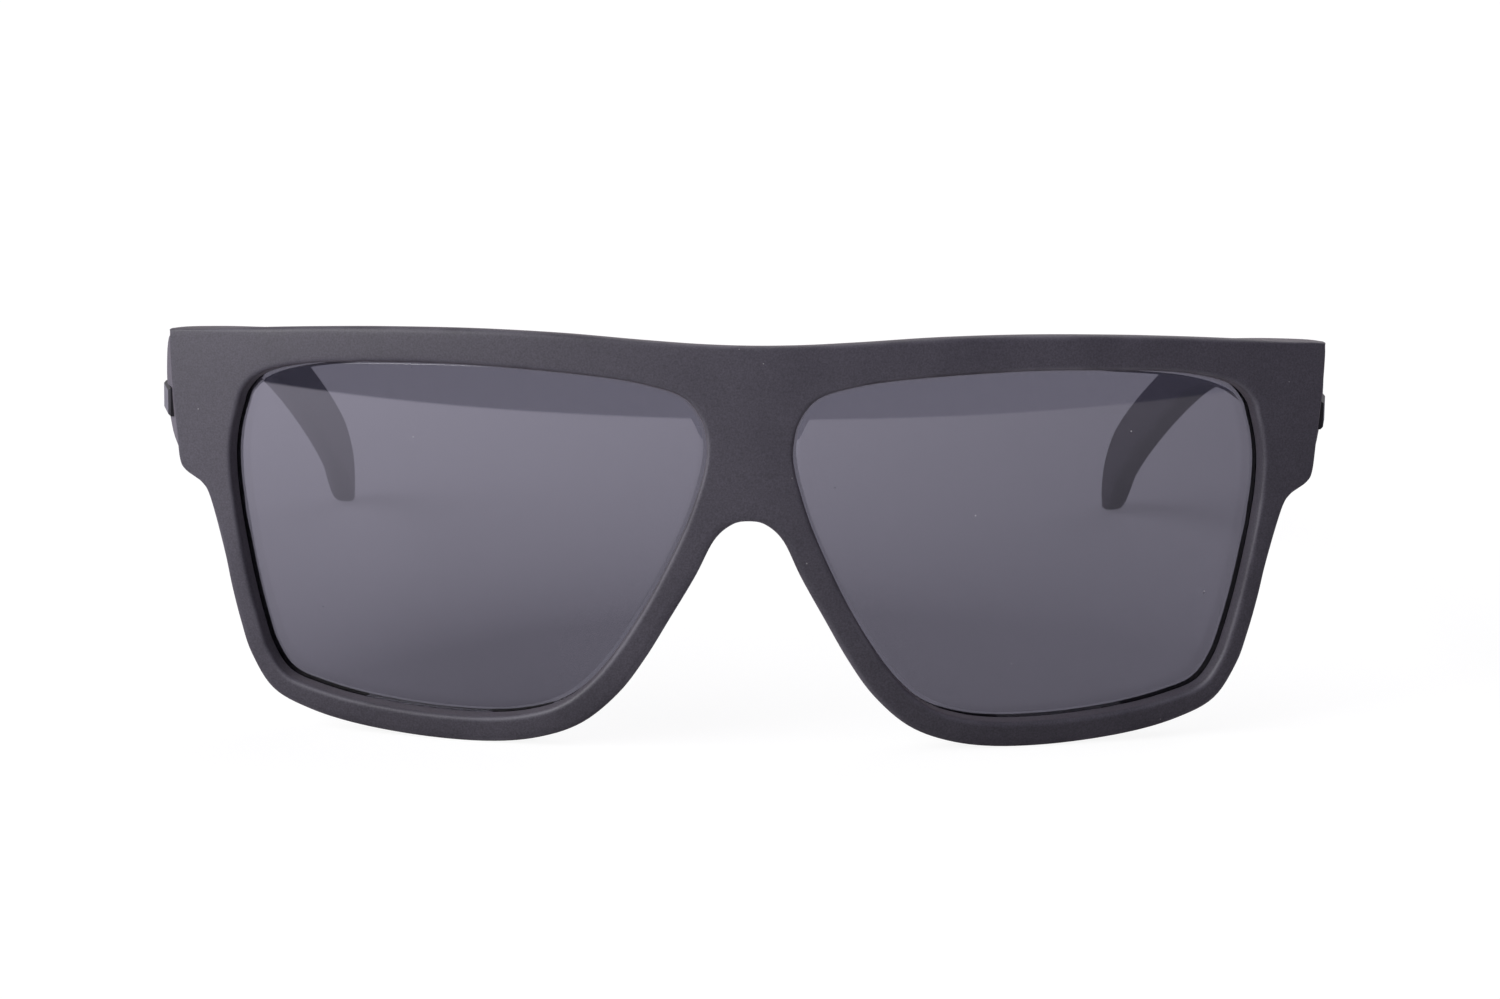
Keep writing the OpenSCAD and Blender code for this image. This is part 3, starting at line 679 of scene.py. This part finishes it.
def new_material(name):
    """An empty material with a Principled shader wired to its output."""
    mat = bpy.data.materials.new(name)
    mat.use_nodes = True
    tree = mat.node_tree
    tree.nodes.clear()
    shader = node(tree, "ShaderNodeBsdfPrincipled")
    node(tree, "ShaderNodeOutputMaterial", {"Surface": shader.outputs["BSDF"]})
    return mat, tree, shader


def per_metre(size_mm):
    """Texture scale at which one feature is size_mm across, in object metres."""
    return 1 / (size_mm * MM)


print("half grey on a screen is this share of white light:", round(colour("#808080")[0], 3))

# %% [markdown]
# ## Moulded nylon
# The front and the temples are injection-moulded nylon. The mould was spark-eroded, which
# leaves a fine even grain, so the plastic is matt and soft to the touch. Handling polishes it a
# little, a few specks of dust show on the dark colour, and long edges are lighter in places,
# partly as wear and partly as a painted highlight.
# The real grain is about 0.1 mm, too fine for the render, so it is drawn at 0.22 mm.

# %% Make the moulded nylon
grain_mm, grain_deep_mm, cloud_mm, dust_mm = 0.22, 0.02, 9, 3.5


def moulded_nylon(name, base, worn_and_highlit):
    mat, tree, shader = new_material(name)
    place = node(tree, "ShaderNodeTexCoord").outputs["Object"]
    grain = node(tree, "ShaderNodeTexNoise", {"Vector": place, "Scale": per_metre(grain_mm), "Detail": 3.0})
    cloud = node(tree, "ShaderNodeTexNoise", {"Vector": place, "Scale": per_metre(cloud_mm), "Detail": 4.0})
    mottle = node(tree, "ShaderNodeMapRange", {
        "Value": cloud.outputs["Fac"], "From Min": 0.3, "From Max": 0.7, "To Min": 0.9, "To Max": 1.1})
    speckle = node(tree, "ShaderNodeMapRange", {
        "Value": grain.outputs["Fac"], "From Min": 0.3, "From Max": 0.7, "To Min": 0.72, "To Max": 1.28})
    tone = node(tree, "ShaderNodeMath", {0: mottle.outputs["Result"], 1: speckle.outputs["Result"]},
                operation="MULTIPLY")
    toned = node(tree, "ShaderNodeVectorMath", {0: colour(base)[:3], "Scale": tone.outputs["Value"]},
                 operation="SCALE")
    # Worn edges with a painted highlight: the meshes say where the long edges are, and the cloud makes them
    # patchy
    on_edge = node(tree, "ShaderNodeAttribute", attribute_name="edge_wear_and_highlight")
    rub_and_highlight = node(tree, "ShaderNodeMapRange", {
        "Value": cloud.outputs["Fac"], "From Min": 0.4, "From Max": 0.65, "To Min": 0.05, "To Max": 0.5})
    edge = node(tree, "ShaderNodeMath", {0: on_edge.outputs["Fac"], 1: rub_and_highlight.outputs["Result"]},
                operation="MULTIPLY")
    wear_and_highlight = node(tree, "ShaderNodeMix", {
        0: edge.outputs["Value"], 6: toned.outputs["Vector"], 7: colour(worn_and_highlit)}, data_type="RGBA")
    # Dust: a rare bright speck, about 0.15 mm across, in cells of 3.5 mm
    cells = node(tree, "ShaderNodeTexVoronoi", {"Vector": place, "Scale": per_metre(dust_mm)})
    dust = node(tree, "ShaderNodeMapRange", {
        "Value": cells.outputs["Distance"], "From Min": 0.02, "From Max": 0.03,
        "To Min": 0.45, "To Max": 0.0})
    dusty = node(tree, "ShaderNodeMix", {
        0: dust.outputs["Result"], 6: wear_and_highlight.outputs[2], 7: colour("#b4b2b0")}, data_type="RGBA")
    tree.links.new(dusty.outputs[2], shader.inputs["Base Color"])
    polish = node(tree, "ShaderNodeMapRange", {
        "Value": cloud.outputs["Fac"], "From Min": 0.35, "From Max": 0.65, "To Min": 0.50, "To Max": 0.58})
    tree.links.new(polish.outputs["Result"], shader.inputs["Roughness"])
    bump = node(tree, "ShaderNodeBump", {
        "Height": grain.outputs["Fac"], "Strength": 0.5, "Distance": grain_deep_mm * MM})
    tree.links.new(bump.outputs["Normal"], shader.inputs["Normal"])
    shader.inputs["IOR"].default_value = 1.53
    shader.inputs["Sheen Weight"].default_value = 0.15
    shader.inputs["Sheen Roughness"].default_value = 0.45
    shader.inputs["Sheen Tint"].default_value = colour("#e8d8dc")
    print("material:", name)
    return mat


# The lighter colour on the long edges is both wear and a painted highlight
charcoal, worn_highlit_charcoal = "#403d45", "#68666e"
front_nylon = moulded_nylon("moulded_nylon_front", charcoal, worn_highlit_charcoal)
temple_nylon = moulded_nylon("moulded_nylon_temple", charcoal, worn_highlit_charcoal)
front.data.materials.clear()
front.data.materials.append(front_nylon)
for piece in temples.values():
    piece.data.materials.clear()
    piece.data.materials.append(temple_nylon)

# %% [markdown]
# ## Tinted lens
# The lenses are polycarbonate, dyed a smoke grey with a touch of violet and hard-coated. About
# an eighth of the light passes, and the two polished faces mirror some of the room. A dark clear
# solid does both. A few specks of dust sit on the surface.

# %% Make the lens material
lens_mat, tree, shader = new_material("tinted_polycarbonate")
place = node(tree, "ShaderNodeTexCoord").outputs["Object"]
shader.inputs["Base Color"].default_value = colour("#64626d")
shader.inputs["Transmission Weight"].default_value = 1.0
shader.inputs["IOR"].default_value = 1.58
shader.inputs["Coat Weight"].default_value = 1.0
shader.inputs["Coat IOR"].default_value = 1.6
shader.inputs["Coat Roughness"].default_value = 0.01
smear = node(tree, "ShaderNodeTexNoise", {"Vector": place, "Scale": per_metre(14), "Detail": 5.0})
film = node(tree, "ShaderNodeMapRange", {
    "Value": smear.outputs["Fac"], "From Min": 0.35, "From Max": 0.7, "To Min": 0.0, "To Max": 0.02})
tree.links.new(film.outputs["Result"], shader.inputs["Roughness"])
# Dust: a rare speck, about 0.2 mm across, in cells of 5 mm
cells = node(tree, "ShaderNodeTexVoronoi", {"Vector": place, "Scale": per_metre(5)})
dust = node(tree, "ShaderNodeMapRange", {
    "Value": cells.outputs["Distance"], "From Min": 0.014, "From Max": 0.022, "To Min": 0.6, "To Max": 0.0})
speck = node(tree, "ShaderNodeBsdfDiffuse", {"Color": colour("#c8c6c8")})
dusted = node(tree, "ShaderNodeMixShader", {
    0: dust.outputs["Result"], 1: shader.outputs["BSDF"], 2: speck.outputs["BSDF"]})
tree.links.new(dusted.outputs["Shader"], tree.nodes["Material Output"].inputs["Surface"])
for piece in lenses.values():
    piece.data.materials.clear()
    piece.data.materials.append(lens_mat)
print("material:", lens_mat.name)

# %% [markdown]
# ## Steel and the side plates
# The hinge leaves are stamped from nickel silver and tumbled, the screws and rivets are turned
# from stainless steel, and the flat cores are drawn spring steel. Each keeps its CAD mesh, and
# gets a bevel so that its edges catch the light. The plates on the temples are polished ABS.


# %% Make the metals
def metal(name, base, rough, line_mm, stretch):
    """Metal with faint lines left by its making: line_mm apart, longer along stretch."""
    mat, tree, shader = new_material(name)
    place = node(tree, "ShaderNodeTexCoord").outputs["Object"]
    lined = node(tree, "ShaderNodeMapping", {"Vector": place, "Scale": stretch})
    lines = node(tree, "ShaderNodeTexNoise", {
        "Vector": lined.outputs["Vector"], "Scale": per_metre(line_mm), "Detail": 2.0})
    gloss = node(tree, "ShaderNodeMapRange", {
        "Value": lines.outputs["Fac"], "To Min": rough - 0.08, "To Max": rough + 0.08})
    tree.links.new(gloss.outputs["Result"], shader.inputs["Roughness"])
    bump = node(tree, "ShaderNodeBump", {
        "Height": lines.outputs["Fac"], "Strength": 0.2, "Distance": 0.01 * MM})
    tree.links.new(bump.outputs["Normal"], shader.inputs["Normal"])
    shader.inputs["Base Color"].default_value = colour(base)
    shader.inputs["Metallic"].default_value = 1.0
    print("material:", name)
    return mat


leaf_metal = metal("tumbled_nickel_silver", "#c9c5bd", 0.32, 0.25, (1, 1, 1))
screw_steel = metal("turned_stainless_steel", "#cfcdca", 0.24, 0.15, (1, 1, 4))
core_steel = metal("drawn_spring_steel", "#b8b7b5", 0.3, 0.12, (4, 0.3, 4))

# %% Make the plates' plastic, and finish the CAD nodes
plate_mat, tree, shader = new_material("polished_abs_black")
place = node(tree, "ShaderNodeTexCoord").outputs["Object"]
haze = node(tree, "ShaderNodeTexNoise", {"Vector": place, "Scale": per_metre(1.5), "Detail": 4.0})
gloss = node(tree, "ShaderNodeMapRange", {
    "Value": haze.outputs["Fac"], "To Min": 0.26, "To Max": 0.42})
tree.links.new(gloss.outputs["Result"], shader.inputs["Roughness"])
shader.inputs["Base Color"].default_value = colour("#151417")
shader.inputs["IOR"].default_value = 1.54

NODE_FINISH = {
    "front_hinge_leaf": (leaf_metal, 0.06), "temple_hinge_leaf": (leaf_metal, 0.06),
    "front_hinge_rivets": (screw_steel, 0.04), "temple_hinge_rivets": (screw_steel, 0.04),
    "hinge_screw": (screw_steel, 0.05), "temple_core_wire": (core_steel, 0.05),
    "temple_side_plate": (plate_mat, 0.08),
}
for name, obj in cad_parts.items():
    kind = name.split("_", 1)[1]
    if kind not in NODE_FINISH:
        continue
    mat, width = NODE_FINISH[kind]
    obj.data.materials.clear()
    obj.data.materials.append(mat)
    bevel = obj.modifiers.new("soft_edges", "BEVEL")
    bevel.width, bevel.segments, bevel.limit_method = width * MM, 2, "ANGLE"
    bevel.angle_limit = math.radians(40)
print("finished CAD nodes:", sum(n.split("_", 1)[1] in NODE_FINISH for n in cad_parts))

# %% [markdown]
# ## Camera
# The photograph was taken a little from above with a long lens, from about 0.78 m. The camera
# is turned by just under a degree, so the frame's right end sits lower in the picture.

# %% Place the camera
azimuth, elevation, roll = math.radians(-1.19), math.radians(12.3), math.radians(0.89)
distance = 780
look_at = np.array([0.06, -half_l_exact, 32.64])
focal_px, picture_w, sensor_w = 6334, 1500, 36
back = np.array([math.sin(azimuth) * math.cos(elevation), -math.cos(azimuth) * math.cos(elevation),
                 math.sin(elevation)])
right = np.array([math.cos(azimuth), math.sin(azimuth), 0])
up = np.cross(back, right)
right, up = right * math.cos(roll) + up * math.sin(roll), up * math.cos(roll) - right * math.sin(roll)
camera = bpy.data.objects.new("camera", bpy.data.cameras.new("camera"))
bpy.context.scene.collection.objects.link(camera)
camera.data.sensor_width = sensor_w
camera.data.lens = focal_px * sensor_w / picture_w
camera.matrix_world = Matrix.Translation(Vector((look_at + back * distance) * MM)) @ Matrix(
    np.column_stack([right, up, back]).tolist()).to_4x4()
bpy.context.scene.camera = camera
print("lens:", round(camera.data.lens, 1), "mm")

# %% [markdown]
# ## Light, floor and room
# The key light is large and soft and comes from the left, and a smaller one stands nearer to the
# front. So the wrapped front is lightest on its left brow and falls off to the right, as in the
# photograph. A weak light from behind keeps the other sides readable. The floor is pale paper,
# and the camera sees it lit nearly to white, with a soft trace of each shadow. What the lenses
# mirror is painted for itself: paper with a painted shade, dark close to the glasses as in their
# own shade, that gets lighter with distance up to the horizon, and painted key light that makes it
# lighter on the left. Above that stands the darker room behind the camera, which is the band
# along the top of the lenses.

# %% Lamps
scene = bpy.context.scene
scene.view_settings.view_transform = "Standard"


def soft_sun(name, azimuth, elevation, softness, strength):
    """A soft lamp far away. Azimuth 0 is in front of the glasses, and turns to their right."""
    lamp = bpy.data.objects.new(name, bpy.data.lights.new(name, "SUN"))
    a, e = math.radians(azimuth), math.radians(elevation)
    toward = Vector((-math.sin(a) * math.cos(e), -math.cos(a) * math.cos(e), math.sin(e)))
    lamp.rotation_euler = toward.to_track_quat("Z", "Y").to_euler()
    lamp.data.angle, lamp.data.energy = math.radians(softness), strength
    scene.collection.objects.link(lamp)
    print("lamp:", name, strength)


soft_sun("key_left", 66, 33, 46, 2.7)
soft_sun("front_left", 36, 25, 26, 0.55)
soft_sun("rim_behind", -140, 45, 60, 1.1)

# %% Floor
reach_m = 30.0
floor_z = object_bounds()[0].z
floor_mesh = bpy.data.meshes.new("floor")
corners = [(x, y, floor_z) for x, y in ((-1, -1), (1, -1), (1, 1), (-1, 1))]
floor_mesh.from_pydata([(x * reach_m, y * reach_m, z) for x, y, z in corners], [], [(0, 1, 2, 3)])
floor = bpy.data.objects.new("floor", floor_mesh)
scene.collection.objects.link(floor)
floor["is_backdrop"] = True
print("floor at z, mm:", round(floor_z / MM, 3))

# %% The paper as the lenses mirror it
# A painted shade of the glasses: it is dark inside an oval round them and rises outside it, and
# painted key light makes it rise more to the side that the key light comes from. Far behind the
# glasses it dims again.
painted_shade_middle, painted_shade_reach = (0.0087, -0.037), (0.074, 0.085)
RISE_SHARPNESS = 0.27
# Slope and middle of the painted key light across the mirrored paper and horizon
LEAN_SLOPE, LEAN_MIDDLE = -0.62, 0.82
cool_paper = [1.12 * c for c in colour("#efeaff")[:3]]

paper = bpy.data.materials.new("matt_paper")
paper.use_nodes = True
tree = paper.node_tree
tree.nodes.clear()
spot = node(tree, "ShaderNodeTexCoord").outputs["Object"]
offset = node(tree, "ShaderNodeVectorMath", {0: spot, 1: (*painted_shade_middle, floor_z)}, operation="SUBTRACT")
oval = node(tree, "ShaderNodeVectorMath", {0: offset.outputs["Vector"], 1: (*painted_shade_reach, 1)},
            operation="DIVIDE")
size = node(tree, "ShaderNodeVectorMath", {0: oval.outputs["Vector"]}, operation="LENGTH")
past = node(tree, "ShaderNodeMath", {0: size.outputs["Value"], 1: 1.0}, operation="SUBTRACT")
slow = node(tree, "ShaderNodeMath", {0: size.outputs["Value"], 1: RISE_SHARPNESS}, operation="SUBTRACT")
rise = node(tree, "ShaderNodeMath", {0: past.outputs["Value"], 1: slow.outputs["Value"]},
            operation="DIVIDE", use_clamp=True)
aim = node(tree, "ShaderNodeVectorMath", {0: offset.outputs["Vector"]}, operation="NORMALIZE")
aim_parts = node(tree, "ShaderNodeSeparateXYZ", {"Vector": aim.outputs["Vector"]})
# Painted key light: the mirrored paper is lighter on the side the key light comes from
painted_key_lean = node(tree, "ShaderNodeMath", {0: aim_parts.outputs["X"], 1: LEAN_SLOPE, 2: LEAN_MIDDLE},
            operation="MULTIPLY_ADD")
spot_parts = node(tree, "ShaderNodeSeparateXYZ", {"Vector": spot})
rear = node(tree, "ShaderNodeMapRange", {
    "Value": spot_parts.outputs["Y"], "From Min": 0.1, "From Max": 0.4, "To Min": 1.0, "To Max": 0.4})
leaned = node(tree, "ShaderNodeMath", {0: painted_key_lean.outputs["Value"], 1: rear.outputs["Result"]},
              operation="MULTIPLY")
# Painted shade and light: low in the oval round the glasses, higher towards the key light's side
mirror_painted_shade_and_light = node(tree, "ShaderNodeMath", {0: rise.outputs["Value"], 1: leaned.outputs["Value"]},
                   operation="MULTIPLY")
print("paper in the lenses: dark within", [round(r / MM) for r in painted_shade_reach], "mm")

# %% The paper for each kind of ray
# A glossy ray that hasn't passed a lens is a mirror image: it gets the painted shade and light of
# the paper and no tone of its own. The camera and the rays through a lens see the paper lit nearly
# to white, and its own tone is low there, so shadows stay soft.
camera_glow, through_glow = 0.9, 0.65
paper_tone, camera_tone, through_tone = 0.85, 0.14, 0.40
path = node(tree, "ShaderNodeLightPath").outputs
not_through = node(tree, "ShaderNodeMath", {0: 1.0, 1: path["Is Transmission Ray"]}, operation="SUBTRACT")
in_mirror = node(tree, "ShaderNodeMath", {0: path["Is Glossy Ray"], 1: not_through.outputs["Value"]},
                 operation="MULTIPLY")
to_camera = node(tree, "ShaderNodeMath", {0: path["Is Camera Ray"], 1: camera_glow}, operation="MULTIPLY")
through = node(tree, "ShaderNodeMath", {
    0: path["Is Transmission Ray"], 1: through_glow, 2: to_camera.outputs["Value"]},
    operation="MULTIPLY_ADD")
glow = node(tree, "ShaderNodeMath", {
    0: in_mirror.outputs["Value"], 1: mirror_painted_shade_and_light.outputs["Value"], 2: through.outputs["Value"]},
    operation="MULTIPLY_ADD")
kept = node(tree, "ShaderNodeMath", {
    0: path["Is Camera Ray"], 1: camera_tone - paper_tone, 2: paper_tone}, operation="MULTIPLY_ADD")
dimmed = node(tree, "ShaderNodeMath", {
    0: path["Is Transmission Ray"], 1: through_tone - paper_tone, 2: kept.outputs["Value"]},
    operation="MULTIPLY_ADD")
tone = node(tree, "ShaderNodeMath", {
    0: in_mirror.outputs["Value"], 1: -paper_tone, 2: dimmed.outputs["Value"]},
    operation="MULTIPLY_ADD", use_clamp=True)
card = node(tree, "ShaderNodeBsdfDiffuse", {"Color": tone.outputs["Value"]})
cool = node(tree, "ShaderNodeMix", {
    0: in_mirror.outputs["Value"], 6: (1, 1, 1, 1), 7: (*cool_paper, 1)}, data_type="RGBA")
lit = node(tree, "ShaderNodeEmission", {"Color": cool.outputs[2], "Strength": glow.outputs["Value"]})
paper_shader = node(tree, "ShaderNodeAddShader", {0: card.outputs["BSDF"], 1: lit.outputs["Emission"]})
node(tree, "ShaderNodeOutputMaterial", {"Surface": paper_shader.outputs["Shader"]})
floor_mesh.materials.append(paper)
print("material:", paper.name)

# %% Room
# Mirrors see the horizon of the paper, a dark room above it, and a pale grey wall behind the
# glasses. Every other ray but the camera's gets the faint violet light of the room.
dark_room, wall_behind, room_light = colour("#595973"), colour("#959595"), colour("#6c6477")
world = bpy.data.worlds.new("room")
scene.world = world
world.use_nodes = True
tree = world.node_tree
tree.nodes.clear()
path = node(tree, "ShaderNodeLightPath").outputs
sky_place = node(tree, "ShaderNodeTexCoord").outputs["Generated"]
way = node(tree, "ShaderNodeSeparateXYZ", {"Vector": sky_place})
behind = node(tree, "ShaderNodeMapRange", {"Value": way.outputs["Y"], "From Min": -0.15, "From Max": 0.15})
low = node(tree, "ShaderNodeMapRange", {
    "Value": way.outputs["Z"], "From Min": 0.012, "From Max": 0.016, "To Min": 1.0, "To Max": 0.0})
# Painted key light: the mirrored horizon is lighter on the side the key light comes from
painted_key_lean = node(tree, "ShaderNodeMath", {0: way.outputs["X"], 1: LEAN_SLOPE, 2: LEAN_MIDDLE},
            operation="MULTIPLY_ADD")
horizon = node(tree, "ShaderNodeVectorMath", {0: cool_paper, "Scale": painted_key_lean.outputs["Value"]},
               operation="SCALE")
above = node(tree, "ShaderNodeMix", {
    0: low.outputs["Result"], 6: dark_room, 7: horizon.outputs["Vector"]}, data_type="RGBA")
mirror_room = node(tree, "ShaderNodeMix", {
    0: behind.outputs["Result"], 6: above.outputs[2], 7: wall_behind}, data_type="RGBA")
seen = node(tree, "ShaderNodeMath", {0: path["Is Camera Ray"], 1: path["Is Transmission Ray"]},
            operation="MAXIMUM")
other = node(tree, "ShaderNodeMix", {
    0: path["Is Glossy Ray"], 6: room_light, 7: mirror_room.outputs[2]}, data_type="RGBA")
shown = node(tree, "ShaderNodeMix", {
    0: seen.outputs["Value"], 6: other.outputs[2], 7: (1, 1, 1, 1)}, data_type="RGBA")
sky = node(tree, "ShaderNodeBackground", {"Color": shown.outputs[2], "Strength": 1.0})
node(tree, "ShaderNodeOutputWorld", {"Surface": sky.outputs["Background"]})
print("world:", world.name)

# %% Measure and finish
low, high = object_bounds()
print("visual size, mm:", [round((b - a) / MM, 2) for a, b in zip(low, high)])
